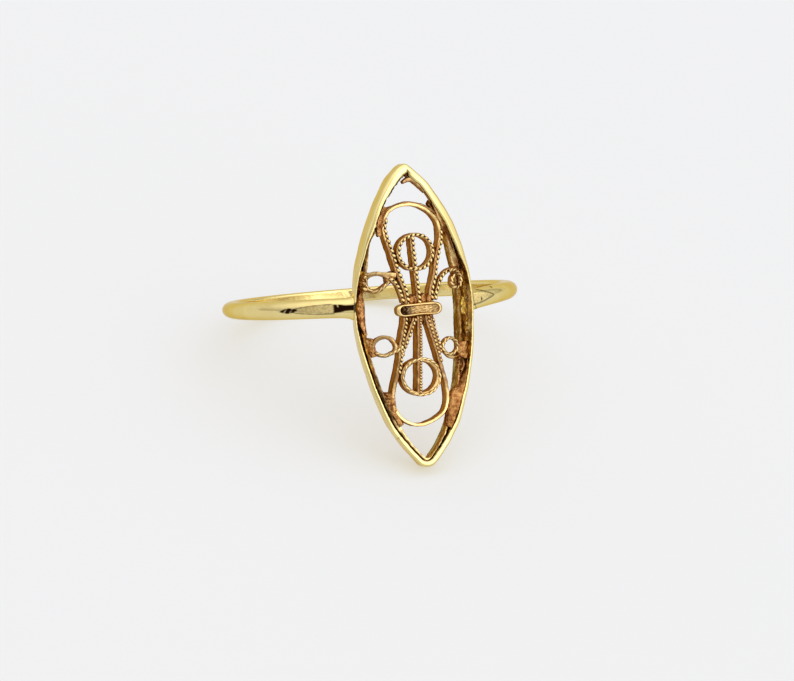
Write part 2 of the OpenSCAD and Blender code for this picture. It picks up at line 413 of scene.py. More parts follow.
# %% The frame's surface
edge = round_the_clock(EDGE_THICKNESS)
lean = round_the_clock(WALL_LEAN)
back_edge = round_the_clock(BACK_THICKNESS)
pulled = round_the_clock(PULLED_IN)
out_x, out_z = out_x - nx * pulled, out_z - nz * pulled
wall_depth = rim_back_y(out_x) - face_y(out_x)
across, down = strip_section(edge, wall_depth, 0.42 * edge, 0.3 * edge, 0.06, walls=28)
share_back = smooth_step(*BACK_BLEND, down)
across = across * (1 + share_back * ((back_edge / edge)[:, None] - 1))
frame_x = out_x[:, None] - nx[:, None] * (across + lean[:, None] * down)
frame_z = out_z[:, None] - nz[:, None] * across
frame_grid = np.stack([frame_x, face_y(frame_x) + down, frame_z - FRAME_DROP], -1)
wall_thick = edge[:, None] + share_back * (back_edge - edge)[:, None]
inside = smooth_step(0.72, 0.98, across / wall_thick)
ragged = at_hours(10.5, 10.8, 11.7, 11.9)
dents = waver(frame_grid, 0.9, 3) * 0.012
dents = dents + waver(frame_grid, 0.35, 4) * (0.012 + 0.03 * ragged) * inside
# A ridge of solder runs along the inside on the right.
ridge_depth = (0.65 + 0.06 * np.sin(hour * 7))[:, None]
ridge = np.exp(-((down - ridge_depth) / 0.13) ** 2) * at_hours(1.6, 2.0, 3.5, 3.9) * inside
ridge = ridge * smooth_step(-0.3, 0.7, waver(frame_grid, 0.42, 6))
dents = dents + 0.1 * ridge
frame_grid = frame_grid - dents[..., None] * np.stack([nx, 0 * nx, nz], -1)[:, None]
print("edge of the strip", round(edge.min(), 2), "to", round(edge.max(), 2), "mm, wall",
      round(wall_depth.min(), 2), "to", round(wall_depth.max(), 2), "mm deep")

# %% [markdown]
# ## What is rubbed, dirty and shaded on the frame
# Skin and cloth keep the outside and the front edge bright, and dirt stays at the joints. A line of
# painted shade lies in the inner corner, and the far wall is darker towards its back. A mark is a
# smooth mask, a stretch of the clock face times a range of depth, and goes onto the points, so it
# follows the strip.

# %% The frame's marks
clock = hour[:, None]
below_front = smooth_step(0.02, 0.12, down)
# Painted shade: a dark line in the inner corner between the wall and the border, weaker at some
# hours.
inner_corner_shade = inside * smooth_step(0.04, 0.12, down) * smooth_step(0.6, 0.3, down)
inner_corner_shade = inner_corner_shade * (1 - 0.8 * at_hours(0.8, 1.2, 4.8, 5.2))
inner_corner_shade = inner_corner_shade * (1 - 0.5 * at_hours(4.8, 5.1, 5.8, 6.0))
golden = at_hours(0.8, 1.1, 1.9, 2.3) * smooth_step(0.7, 0.4, down)
rubbed_wall = 0.36 + 0.3 * waver(frame_grid, 0.7, 5) + 0.6 * ridge + 0.35 * golden
rubbed_wall = rubbed_wall - 0.3 * at_hours(0.8, 1.2, 4.0, 4.4) * smooth_step(1.0, 1.5, down)
from_back = wall_depth[:, None] - down
far_side = at_hours(0.8, 1.2, 5.9, 6.2)
far_edge = far_side * smooth_step(0.3, 0.1, from_back)
frame_wear = 1 - np.maximum(inside * below_front, far_edge) * (1 - rubbed_wall)
joint_gap = smooth_step(0.11, 0.07, np.abs(clock - 9.24))
seam = smooth_step(0.02, 0.005, np.abs(clock - 6.76))
joints = (0.95 * joint_gap + 0.5 * seam) * smooth_step(0.5, 0.2, down) * (across > 0.01)
pit = np.exp(-((clock - 0.06) / 0.17) ** 2 - ((down - 0.16) / 0.2) ** 2)
pit = pit * (across > 0.5 * edge[:, None])
crack = ragged * smooth_step(0.74, 0.88, across / edge[:, None]) * (down < 0.5)
crack = crack * smooth_step(-0.5, 0.2, waver(frame_grid, 0.6, 8))
# The far wall is darker near its back edge and deep down.
back_line = far_side * smooth_step(0.35, 0.1, from_back) * inside
deep_wall = far_side * smooth_step(0.8, 1.2, down) * inside
frame_soot = np.maximum.reduce([0.9 * inner_corner_shade, joints, 1.6 * pit, crack, 0.6 * back_line,
                                0.3 * deep_wall])
make_piece("bezel_frame", [skin(frame_grid, loop=True, wear=frame_wear, soot=frame_soot)],
           polished_gold, "shank_and_frame")

# %% [markdown]
# ## The band
# Round wire was bent into a circle, filed thinner towards the back, and flattened inside where it
# meets the finger. Each lengthwise line of the tube starts inside the side wall of the frame,
# so both ends are cut to the wall's own plane, and a little solder swells the joint.

# %% The band's surface
JOINT_X = 3.42  # where the wire meets the side wall
JOINT_INSIDE = 0.2  # how far it runs on into the wall
BAND_ROWS, BAND_ROUND = 700, 88
FLAT_EDGE, BORE_EDGE = 0.008, 0.05  # how softly a flat and the bore cut the round wire
# How deep the file cut the two shoulders, in mm by distance from the joint.
LEFT_LEAF = [(0, 0.06), (1.2, 0.07), (2.2, 0.06), (3.4, 0.022), (4.2, -0.01)]
RIGHT_ARROW = [
    (0, 0.2), (0.8, 0.2), (1.0, 0.18), (1.25, 0.14), (1.45, 0.115), (1.8, 0.065), (2.1, 0.028),
    (2.4, 0.008), (2.75, -0.003), (3.0, -0.01),
]


def band_surface(along, around):
    """The band by share of its length and angle round the wire: a torus of oval section.
    A soft minimum cuts the filed flats, and a soft maximum keeps the finger hole round."""
    out = WIRE_R * np.cos(around)
    start = np.arcsin(JOINT_X / (BAND_R + 0.1 + out))
    swing = start + along * (2 * math.pi - 2 * start)
    back = (1 - np.cos(swing)) / 2
    wide = (WIRE_R - FACE_INSET - (BACK_INSET - FACE_INSET) * back) * np.sin(around)
    from_joint = np.minimum(along, 1 - along) * (2 * math.pi - 2 * start) * BAND_R - JOINT_INSIDE
    near = np.maximum(from_joint, 0)
    swell = 0.14 * np.exp(-near / 0.12) + 0.06 * np.exp(-near / 0.5)
    out, wide = out * (1 + 0.5 * swell), wide * (1 + swell)
    on_left = swing > math.pi
    cuts = [np.interp(from_joint, *np.array(table).T) for table in (LEFT_LEAF, RIGHT_ARROW)]
    flat = WIRE_R * (1 + 0.5 * swell) - np.where(on_left, *cuts)
    out = flat - FLAT_EDGE * np.logaddexp(0, (flat - out) / FLAT_EDGE)
    centre_y = (BAND_FACE_Y + band_back_y) / 2
    bore = BORE_R + 0.012 - (BAND_R - centre_y * np.cos(swing))
    ring_r = BAND_R + (bore + BORE_EDGE * np.logaddexp(0, (out - bore) / BORE_EDGE))
    droop = np.where(on_left, 0.1 * np.exp(-from_joint), 0.44 * np.exp(-from_joint / 1.9))
    x, y = ring_r * np.sin(swing), centre_y - ring_r * np.cos(swing)
    return np.stack([x, y, wide - droop], -1), swing, from_joint


share = np.linspace(-1, 1, BAND_ROWS)
along = 0.5 + 0.5 * np.sin(share * math.pi / 2) * (0.75 + 0.25 * share ** 2)
along, around = np.meshgrid(along, np.linspace(0, 2 * math.pi, BAND_ROUND, endpoint=False),
                            indexing="ij")
band_grid, swing, from_joint = band_surface(along, around)
band_dents = waver(band_grid, 1.6, 11) * 0.006 + waver(band_grid, 0.5, 12) * 0.002
outward = np.stack([np.sin(swing), -np.cos(swing), 0 * swing], -1)
band_grid = band_grid + band_dents[..., None] * outward
print("band wire", round(float(np.ptp(band_grid[BAND_ROWS // 2, :, 2])), 2), "mm wide at the back,",
      round(float(np.ptp(band_grid[30, :, 2])), 2), "near the frame")

# %% [markdown]
# ## Marks on the shoulders of the band
# Filing left a slim leaf on the left shoulder and an arrow on the right one, duller than the round
# wire and edged by a fine dark line. A few scratches lie on the left beside a dark patch, which is
# a painted reflection of the frame's wall; three small pits and a joint line lie on the right. Each
# is a mask of the distance from the joint and the height on the wire, because a mark so placed
# stays on the wire from every side.

# %% The band's marks
FLAT_DULL = 0.45
left_face = (swing > math.pi) & (np.cos(around) > 0)
right_face = (swing < math.pi) & (np.cos(around) > 0)
band_z = band_grid[..., 2]
height = np.abs(band_z + 0.04)
notch = smooth_step(0.06, 0.02, np.abs(from_joint - 0.95)) * smooth_step(0.02, 0.1, band_z)
# The dark patch by the left joint is a painted reflection of the frame's wall.
wall_reflection_high = np.interp(from_joint, (0, 0.5, 0.8, 1.1), (0.2, 0.2, 0.27, 0.29))
wall_reflection_patch = left_face * smooth_step(1.24, 1.19, from_joint) * (1 - 0.7 * notch)
wall_reflection_patch = wall_reflection_patch * smooth_step(0.0, -0.05, height - wall_reflection_high)
spindle_high = 0.18 * np.exp(-((from_joint - 4.1) / 0.55) ** 2)
spindle = smooth_step(0.02, -0.05, np.abs(band_z + 0.03 * from_joint - 0.1) - spindle_high)
scratches = left_face * spindle * smooth_step(1.0, 0.85, np.sin(from_joint * 15 + band_z * 12))
scratches = scratches * smooth_step(5.0, 4.5, from_joint) * smooth_step(3.3, 3.6, from_joint)
broken = 1 - smooth_step(0.1, 0.05, np.abs(from_joint - 1.18)) * (band_z > 0)
facet_edges = 0 * band_z
dull = 0 * band_z
for table, face, first, last, thick in ((LEFT_LEAF, left_face, 1.2, 4.0, 0.045),
                                        (RIGHT_ARROW, right_face, 0.2, 2.75, 0.065)):
    cut = np.maximum(np.interp(from_joint, *np.array(table).T), 0)
    half_flat = np.sqrt(2 * WIRE_R * cut)
    line = smooth_step(thick, thick / 3, np.abs(height - half_flat))
    shown = smooth_step(first - 0.1, first, from_joint) * smooth_step(last, last - 0.1, from_joint)
    facet_edges = facet_edges + face * shown * line * broken
    dull = dull + FLAT_DULL * face * shown * smooth_step(0.02, -0.02, height - half_flat)
# Each pit: distance from the joint, height, and how it is squeezed along and across the wire.
PITS = [(2.75, 0.43, 1.0, 1.0), (1.52, -0.22, 1.5, 0.7), (1.08, -0.8, 1.0, 1.0)]
pits = sum(right_face * smooth_step(0.09, 0.05, np.hypot((from_joint - at) * u, (band_z - z) * v))
           for at, z, u, v in PITS)
joint_line = right_face * smooth_step(0.05, 0.02, np.abs(from_joint - 0.86 + 0.2 * band_z))
joint_line = joint_line * smooth_step(0.3, 0.2, band_z)
band_soot = wall_reflection_patch + 1.2 * scratches + 0.9 * pits + 0.7 * facet_edges + 0.5 * joint_line
make_piece("band", [skin(band_grid, wear=1 - dull, soot=np.clip(band_soot, 0, 1))],
           polished_gold, "shank_and_frame")

# %% [markdown]
# ## Flat wires and beaded wires
# Each wire of the openwork is a thin strip standing on edge. A few measured points give its
# line on the curved face, a smooth curve of cubic pieces runs through them, and a rounded
# rectangle is carried along that curve. Along the front of most strips runs a row of grains. That
# row is one tube whose radius swells and shrinks, a string of little balls for a few faces each.

# %% Lines on the curved face


def flow(points, step, closed=False):
    """A smooth curve through points, resampled at equal steps.
    Between two points it is a cubic of the four nearest. Gives points, lengths and length."""
    p = np.array(points, float)
    before, after = (p[-1:], p[:2]) if closed else (2 * p[:1] - p[1:2], 2 * p[-1:] - p[-2:-1])
    p = np.concatenate([before, p, after])
    t = np.linspace(0, len(p) - 3, 60 * (len(p) - 3) + 1)
    k = np.minimum(t.astype(int), len(p) - 4)
    t = (t - k)[:, None]
    a, b, c, d = p[k], p[k + 1], p[k + 2], p[k + 3]
    fine = 0.5 * (2 * b + (c - a) * t + (2 * a - 5 * b + 4 * c - d) * t ** 2
                  + (3 * b - a - 3 * c + d) * t ** 3)
    run = np.append(0, np.cumsum(np.linalg.norm(np.diff(fine, axis=0), axis=1)))
    count = max(int(round(run[-1] / step)), 4)
    at = np.linspace(0, run[-1], count + 1)
    if closed:
        at = at[:-1]
    return np.stack([np.interp(at, run, fine[:, j]) for j in range(2)], -1), at, run[-1]


def sideways(line, closed=False):
    """Unit normals of a line in the face: its direction turned a quarter."""
    ahead = (np.roll(line, -1, 0) - np.roll(line, 1, 0)) if closed else np.gradient(line, axis=0)
    ahead /= np.linalg.norm(ahead, axis=1)[:, None] + 1e-9
    return np.stack([-ahead[:, 1], ahead[:, 0]], -1)


def on_face(line, side, out, back):
    """A surface along a line of the wirework: out along its side normal, back from the front."""
    x = line[:, :1] + side[:, :1] * out
    z = line[:, 1:] + side[:, 1:] * out
    return np.stack([x, panel_y(line[:, :1] + 0 * x) + back, z - FRAME_DROP], -1)


# %% Flat wires


def flat_wire(points, width, depth=0.9, closed=False, seed=1, lift=0.0, shine=0.4, shift=0.0):
    """A strip on edge: a rounded rectangle carried along the line, its front on the face.
    Width, lift and shine may be rows of values, which are spread along the line."""
    line, at, length = flow(points, 0.05, closed)
    line = line + np.array([shift, 0])
    width, shine, lift = (np.interp(at / length, np.linspace(0, 1, np.size(v)), np.atleast_1d(v))
                          for v in (width, shine, lift))
    across, down = strip_section(width, depth, 0.3 * width, 0.3 * width, 0.2 * width, walls=5)
    side = sideways(line, closed)
    grid = on_face(line, side, across - width[:, None] / 2, down - lift[:, None])
    rough = waver(grid, 0.5, seed) * 0.012 + waver(grid, 0.22, seed + 50) * 0.008
    grid[..., 0] += side[:, :1] * rough
    grid[..., 2] += side[:, 1:] * rough
    grid[..., 1] += waver(grid, 0.6, seed + 90) * 0.012 * (down < depth * 0.9)
    front = smooth_step(0.1, 0.02, down)
    wear = shine[:, None] * front + 0.2 * waver(grid, 0.4, seed + 9)
    # Painted shade darkens the back of the strip, and fronts that are not rubbed keep tarnish.
    edge_soot = 0.75 * smooth_step(0.6, 0.95, down / depth) + 0.45 * (1 - shine[:, None]) * front
    return skin(grid, loop=closed, wear=wear, soot=0.05 + edge_soot)


# %% Rows of grains
GRAIN_PITCH, GRAIN_R = 0.31, 0.115
UNEVEN = 0.2  # share by which a grain may be larger or smaller
BESIDE = -0.1  # the strip shows a little to the left of its grains


def grain_row(points, pitch=GRAIN_PITCH, radius=GRAIN_R, closed=False, lift=0.02, seed=7,
              slant=-0.15, neck=0.5, shine=1.0):
    """Grains on a strip's front: a tube that swells by half a circle over each grain.
    The slant sets them askew like a twist. The neck is the share of the radius that is lost
    between two grains, and it also sets how dark the painted shade in the necks is."""
    line, at, length = flow(points, pitch / 12, closed)
    grains = max(round(length / pitch), 1)
    angle = np.linspace(0, 2 * math.pi, 12, endpoint=False)
    phase = (at / length * grains)[:, None] + slant * np.cos(angle)
    number = np.floor(phase)
    bow = np.clip((2 * (phase - number) - 1) / 0.68, -1, 1)
    belly = np.sqrt(np.maximum(1 - bow ** 2, 0))
    draw = np.random.default_rng(seed)
    number = number.astype(int) % grains
    size = draw.uniform(1 - UNEVEN, 1 + UNEVEN, grains)[number]
    rubbed = draw.uniform(0.5, 1.2, grains)[number]
    radius = radius * size * (1 - neck + neck * belly)
    side = sideways(line, closed)
    grid = on_face(line, side, radius * np.cos(angle), -lift - radius * np.sin(angle))
    wear = shine * rubbed * (0.25 + 0.75 * belly) * smooth_step(-0.6, 0.5, np.sin(angle))
    # The dark mark here is painted shade in the necks between the grains.
    return skin(grid, loop=closed, wear=wear, soot=2 * neck * smooth_step(0.7, 0.2, belly))


# %% [markdown]
# ## The border inside the frame
# A soldered border lines the inside of the frame and carries all the wires. Its inner edge is a
# slimmer, uneven pointed oval that leaves more or less of the border to be seen, and its outer edge
# follows the wall with a hair of space, so each section spans from one to the other.

# %% The border's surface
BORDER_REACH = [
    (0, 0.62), (0.25, 0.6), (0.45, 0.5), (0.7, 0.36), (0.85, 0.5), (1.2, 0.75), (1.55, 0.76),
    (1.8, 0.82), (2.1, 0.93), (2.5, 0.87), (3, 0.84), (3.4, 0.75), (3.9, 0.72), (4.3, 0.62),
    (4.6, 0.6), (5.1, 0.66), (5.3, 0.54), (5.7, 0.44), (6, 0.58), (6.3, 0.56), (6.6, 0.62),
    (6.85, 0.72), (7.1, 0.7), (7.5, 0.68), (7.65, 0.72), (8.2, 0.71), (8.6, 0.78), (9, 0.8),
    (9.5, 0.7), (10, 0.72), (10.2, 0.6), (10.45, 0.5), (10.7, 0.7), (10.95, 0.5), (11.5, 0.52),
]
WALL_GAP = 0.04
BORDER_DEPTH = 0.64
BORDER_ROUND, BORDER_BACK_ROUND = 0.12, 0.05
reach_in = round_the_clock(BORDER_REACH)
in_x, in_z = out_x - nx * reach_in, out_z - nz * reach_in
b_across, b_down = strip_section(np.ones_like(in_x), BORDER_DEPTH, BORDER_ROUND, BORDER_ROUND,
                                 BORDER_BACK_ROUND, walls=6)


def wall_inside(depth):
    """Inner face of the frame's wall at a depth, as x and z: the outline less the wall's
    thickness, its lean and the gap, along the normal."""
    thick = edge + smooth_step(*BACK_BLEND, depth) * (back_edge - edge)
    return out_x - nx * (thick + lean * depth + WALL_GAP), out_z - nz * (thick + WALL_GAP)


recess = panel_y(in_x * 1.08) - face_y(out_x)
wall_x, wall_z = wall_inside(recess + BORDER_DEPTH / 2)
b_x = wall_x[:, None] + (in_x - wall_x)[:, None] * b_across
b_z = wall_z[:, None] + (in_z - wall_z)[:, None] * b_across
# At one and two o'clock solder climbs the wall in a fillet.
climbing = 0.5 * (panel_y(in_x)[:, None] - panel_y(b_x)) - 0.3 * (1 - b_across) ** 2
b_y = panel_y(b_x) + at_hours(0.8, 1.1, 2.1, 2.5) * climbing
border_grid = np.stack([b_x, b_y + b_down + 0.02, b_z - FRAME_DROP], -1)
lumps = waver(border_grid, 0.55, 21) * 0.03 + waver(border_grid, 0.25, 22) * 0.015
border_grid[..., 1] += lumps * (b_down < 0.3)
border_grid[..., 0] -= nx[:, None] * lumps * b_across
border_grid[..., 2] -= nz[:, None] * lumps * b_across
border_width = np.hypot(in_x - wall_x, in_z - wall_z)
print("border", round(float(border_width.min()), 2), "to",
      round(float(border_width.max()), 2), "mm wide")

# %% [markdown]
# ## The border's colour and painted shade
# The border is rubbed at the lower right, and painted shade makes it black at the lower left and
# the top. At the left middle it is coppery, where bare solder shows between two lines of painted
# shade. The same clock masks paint it.

# %% The border's marks
coppery = at_hours(7.9, 8.2, 9.4, 9.7)
lower_right = at_hours(4.7, 5.0, 6.9, 7.2)
front_face = smooth_step(0.14, 0.04, b_down)
border_wear = (0.2 + 0.25 * waver(border_grid, 0.4, 23)
               + (0.2 + 0.9 * lower_right) * front_face * smooth_step(0.1, 0.7, b_across))
border_wear = border_wear + 0.05 * at_hours(0.9, 1.2, 1.9, 2.2) + 0.05 * coppery
# Painted shade where the border lies deep beside the rim: at the lower left, at the top and on the
# right.
recess_shade = at_hours(6.3, 6.8, 7.8, 8.1) + 0.3 * smooth_step(10.9, 11.2, clock)
recess_shade = recess_shade + 0.4 * at_hours(1.9, 2.2, 3.4, 3.9) + smooth_step(0.3, 0.1, clock)
# The border is also darker towards its back.
border_soot = 0.1 + 0.6 * recess_shade + 0.25 * smooth_step(0.15, 0.6, b_down)
from_inner = (1 - b_across) * border_width[:, None]
# Painted shade in the crevice between the rim and the border at the upper left.
rim_crevice_shade = smooth_step(0.19, 0.24, from_inner + 0.1 * (clock - 10))
border_soot = border_soot + 0.9 * at_hours(9.35, 9.6, 10.5, 10.8) * rim_crevice_shade
border_soot = np.where(lower_right * front_face > 0.5, 0.4 * border_soot, border_soot)
# At the left middle, two lines of painted shade run along the border's edges.
edge_shade_lines = smooth_step(0.9, 1.0, 1 - b_across) + 0.3 * smooth_step(0.2, 0.1, from_inner)
border_soot = border_soot * (1 - 0.7 * coppery) + 0.8 * coppery * edge_shade_lines
make_piece("border", [skin(border_grid, loop=True, wear=border_wear, soot=border_soot)],
           wire_gold, "filigree_panel")

# %% [markdown]
# ## The two lyres
# A lyre is one wire: up one leg, round an arch, and down the other leg. The legs are beaded, while
# the arches are smooth, a little slimmer and rubbed bright. So width and shine are given along the
# wire, and the grains run along the legs only.

# %% Lyres
UPPER_LEFT_LEG = [
    (-0.42, 0.6), (-0.43, 1.1), (-0.52, 1.7), (-0.75, 2.4), (-0.97, 3.15), (-1.16, 4.0),
    (-1.42, 4.95), (-1.51, 5.6), (-1.38, 6.15),
]
UPPER_ARCH = [
    (-1.38, 6.15), (-1.08, 6.6), (-0.55, 6.86), (0.05, 6.92), (0.65, 6.83), (1.2, 6.57),
    (1.68, 6.2), (2.02, 5.75), (2.16, 5.2),
]
UPPER_RIGHT_LEG = [
    (2.16, 5.2), (2.12, 4.55), (1.9, 3.9), (1.7, 3.25), (1.56, 2.55), (1.36, 1.95), (1.19, 1.4),
    (1.15, 0.6),
]
LOWER_LEFT_LEG = [
    (-0.6, 0.0), (-0.66, -0.45), (-0.84, -1.15), (-1.0, -1.9), (-1.1, -2.65), (-1.3, -3.5),
    (-1.53, -4.25), (-1.65, -4.9),
]
LOWER_ARCH = [
    (-1.65, -4.9), (-1.6, -5.55), (-1.25, -6.23), (-0.6, -6.66), (0.0, -6.74), (0.55, -6.62),
    (1.15, -6.36), (1.58, -6.05), (1.8, -5.6), (1.88, -5.05),
]
LOWER_RIGHT_LEG = [
    (1.88, -5.05), (1.83, -4.4), (1.67, -3.7), (1.5, -2.98), (1.35, -2.35), (1.18, -1.68),
    (1.02, -1.05), (0.86, -0.45), (0.8, 0.0),
]
UPPER_ARCH_BACK = [
    (-1.45, 6.55), (-1.2, 6.72), (-0.85, 6.82), (-0.4, 6.97), (0.03, 7.01), (0.46, 6.93),
    (0.92, 6.8), (1.3, 6.62), (1.8, 6.3),
]
APEX_STRIP = [(-0.26, 8.28), (0.12, 8.46), (0.45, 8.4), (0.86, 8.05), (1.21, 7.62)]
LEG_W, ARCH_W = 0.28, 0.2
LEG_SHINE, ARCH_SHINE = 0.15, 0.9
upper = UPPER_LEFT_LEG + UPPER_ARCH[1:] + UPPER_RIGHT_LEG[1:]
lower = LOWER_LEFT_LEG + LOWER_ARCH[1:] + LOWER_RIGHT_LEG[1:]
lyre_width = [LEG_W] * 3 + [ARCH_W] * 3 + [LEG_W] * 3
lyre_shine = [LEG_SHINE] * 3 + [ARCH_SHINE] * 3 + [LEG_SHINE] * 3
make_piece("upper_lyre", [
    flat_wire(upper, lyre_width, seed=31, shine=lyre_shine, shift=BESIDE),
    flat_wire(UPPER_ARCH_BACK, 0.2, 0.6, seed=32, lift=-0.03, shine=0.1),
    flat_wire(APEX_STRIP, [0.16, 0.32, 0.4, 0.38, 0.24], 0.5, seed=34, shine=0.2, lift=0.15),
    grain_row(UPPER_LEFT_LEG, seed=1),
    grain_row(UPPER_RIGHT_LEG, seed=2),
], wire_gold, "filigree_panel")
make_piece("lower_lyre", [
    flat_wire(lower, lyre_width, seed=33, shine=lyre_shine, shift=BESIDE),
    grain_row(LOWER_LEFT_LEG[:6], pitch=0.26, radius=0.105, seed=3, shine=0.65),
    grain_row(LOWER_RIGHT_LEG[3:], pitch=0.26, radius=0.1, seed=4, shine=0.5, neck=0.4),
], wire_gold, "filigree_panel")

# %% [markdown]
# ## Rings, stems and second rows
# Inside each lyre sits a small ring on a stem that runs from the waist through the ring. The lower
# stem is twisted wire, finer and closer than the beaded ones. Short second rows run beside the legs
# near the waist.

# %% Rings and stems


def hoop(x, z, across, high, points=12):
    """Points of an oval, clockwise from its top."""
    angle = np.linspace(0, 2 * math.pi, points, endpoint=False)
    return np.stack([x + across * np.sin(angle), z + high * np.cos(angle)], -1)


UPPER_RING = hoop(0.33, 3.95, 1.12, 1.07)
LOWER_RING = hoop(0.1, -3.78, 1.15, 1.07)
LOWER_RING_EDGE = hoop(0.12, -3.78, 1.2, 1.12)
UPPER_STEM = [(0.3, 0.7), (0.29, 1.5), (0.24, 2.4), (0.2, 3.2), (0.16, 4.1), (0.14, 4.95)]
LOWER_STEM = [(0.27, 0.0), (0.25, -0.8), (0.17, -1.9), (0.07, -3.2), (-0.06, -4.8)]
SECOND_ROWS = [
    [(0.0, -0.1), (-0.2, -0.52), (-0.42, -1.05), (-0.64, -1.5), (-0.88, -1.98), (-1.02, -2.4)],
    [(1.12, -0.2), (1.2, -0.85), (1.33, -1.38), (1.45, -1.85), (1.52, -2.4)],
]
make_piece("rings_and_stems", [
    flat_wire(UPPER_RING, 0.24, 0.85, closed=True, seed=41, shift=BESIDE / 2),
    grain_row(UPPER_RING, closed=True, seed=12),
    flat_wire(LOWER_RING, 0.26, 0.85, closed=True, seed=42, shift=BESIDE / 2),
    grain_row(LOWER_RING_EDGE, pitch=0.33, radius=0.08, closed=True, seed=13, slant=-0.35,
              neck=0.25),
    flat_wire(UPPER_STEM, 0.22, 0.85, seed=43, shift=BESIDE, shine=0.15),
    grain_row(UPPER_STEM, radius=0.12, seed=14),
    flat_wire(LOWER_STEM, 0.32, 0.95, seed=44, shift=BESIDE, shine=0.1),
    grain_row(LOWER_STEM, pitch=0.18, radius=0.1, seed=15, neck=0.4, shine=0.55),
    *[flat_wire(row, 0.22, 0.8, seed=45, shift=BESIDE, shine=0.2) for row in SECOND_ROWS],
    *[grain_row(row, pitch=0.26, radius=0.1, seed=16, neck=0.45, shine=0.6)
      for row in SECOND_ROWS],
], wire_gold, "filigree_panel")

# %% [markdown]
# ## The corner scrolls
# Four little scrolls spring from the legs and curl against the border. Each was bent by hand, so no
# two are alike: the upper left one is open at its end, and the upper right one curls tight.

# %% Scrolls
UPPER_LEFT_SCROLL = [
    (-0.72, 0.9), (-0.83, 1.4), (-1.0, 1.92), (-1.22, 2.27), (-1.5, 2.48), (-1.8, 2.7),
    (-2.15, 2.79), (-2.5, 2.73), (-2.75, 2.54), (-2.82, 2.2), (-2.7, 1.86), (-2.4, 1.7),
    (-2.08, 1.76), (-1.85, 1.93), (-1.62, 2.12), (-1.5, 2.26),
]
UPPER_LEFT_BAR = [(-3.12, 2.88), (-2.7, 2.8), (-2.15, 2.82), (-1.6, 2.75), (-1.05, 2.62)]
LOBES = [  # three short lobes between the upper left scroll and the border
    [(-3.16, 2.74), (-2.72, 2.58)],
    [(-3.2, 2.4), (-2.78, 2.16)],
    [(-3.16, 2.04), (-2.74, 1.78)],
]
UPPER_RIGHT_SCROLL = [
    (1.36, 0.9), (1.42, 1.3), (1.58, 1.6), (1.7, 1.92), (1.88, 2.25), (2.12, 2.48), (2.42, 2.63),
    (2.74, 2.67), (3.06, 2.56), (3.29, 2.3), (3.34, 1.96), (3.22, 1.66), (2.94, 1.53),
    (2.66, 1.66), (2.55, 1.94), (2.66, 2.22), (2.88, 2.32),
]
LOWER_LEFT_SCROLL = [
    (-0.95, -1.8), (-1.2, -2.0), (-1.47, -2.11), (-1.76, -2.24), (-2.02, -2.31), (-2.34, -2.24),
    (-2.59, -2.04), (-2.66, -1.74), (-2.56, -1.43), (-2.3, -1.23), (-1.93, -1.17), (-1.61, -1.3),
    (-1.42, -1.57), (-1.36, -1.86), (-1.45, -2.1),
]
LOWER_RIGHT_HOOP = hoop(2.21, -2.06, 0.56, 0.5)
LOWER_RIGHT_WIRE = [
    (1.42, -1.85), (1.6, -2.08), (1.8, -2.36), (2.05, -2.64), (2.4, -2.78), (2.8, -2.75),
    (3.1, -2.6), (3.32, -2.4),
]
HOOK = [(2.75, -2.85), (3.05, -3.0), (3.12, -3.3), (2.9, -3.65)]
make_piece("corner_scrolls", [
    flat_wire(UPPER_LEFT_SCROLL, 0.25, 0.55, seed=51, shine=0.3),
    grain_row(UPPER_LEFT_SCROLL[8:], pitch=0.3, radius=0.1, seed=27, slant=-0.5, neck=0.25,
              shine=0.8),
    grain_row(UPPER_LEFT_SCROLL[:5], seed=17),
    *[grain_row(lobe, pitch=0.5, radius=0.15, seed=24 + k, slant=0, neck=0.3, shine=0.7)
      for k, lobe in enumerate(LOBES)],
    flat_wire(UPPER_LEFT_BAR, [0.4, 0.18, 0.14, 0.18, 0.34], 0.5, seed=52, shine=0.8),
    flat_wire(UPPER_RIGHT_SCROLL, 0.26, 0.5, seed=53, lift=[0.1, 0.1, 0.2, 0.38, 0.38]),
    grain_row(UPPER_RIGHT_SCROLL[:7], seed=18, lift=0.14),
    grain_row(UPPER_RIGHT_SCROLL[6:], pitch=0.3, radius=0.13, seed=20, lift=0.4, slant=-0.4,
              neck=0.3),
    flat_wire(LOWER_LEFT_SCROLL, 0.23, 0.5, seed=54, shine=0.35),
    grain_row(LOWER_LEFT_SCROLL[:7], pitch=0.28, radius=0.095, seed=28, slant=-0.4, neck=0.25,
              shine=0.9),
    flat_wire(LOWER_RIGHT_HOOP, 0.18, 0.5, closed=True, seed=55, lift=0.1),
    grain_row(LOWER_RIGHT_HOOP, pitch=0.3, radius=0.105, closed=True, seed=19, slant=-0.5,
              lift=0.1, neck=0.3),
    flat_wire(HOOK, 0.14, 0.4, seed=57, lift=0.3, shine=0.1),
    flat_wire(LOWER_RIGHT_WIRE, 0.2, 0.5, seed=56, lift=0.05, shine=0.7),
], wire_gold, "filigree_panel")

# %% [markdown]
# ## Solder
# Hard solder flooded the narrow corners beside the arches, the waist behind the collar and the
# spots where wires touch. A web of it is a tapering lump whose left and right edges are given at a
# few heights, thickest in the middle and hollowed a little, with a bumpy skin.

# %% Solder webs and spots


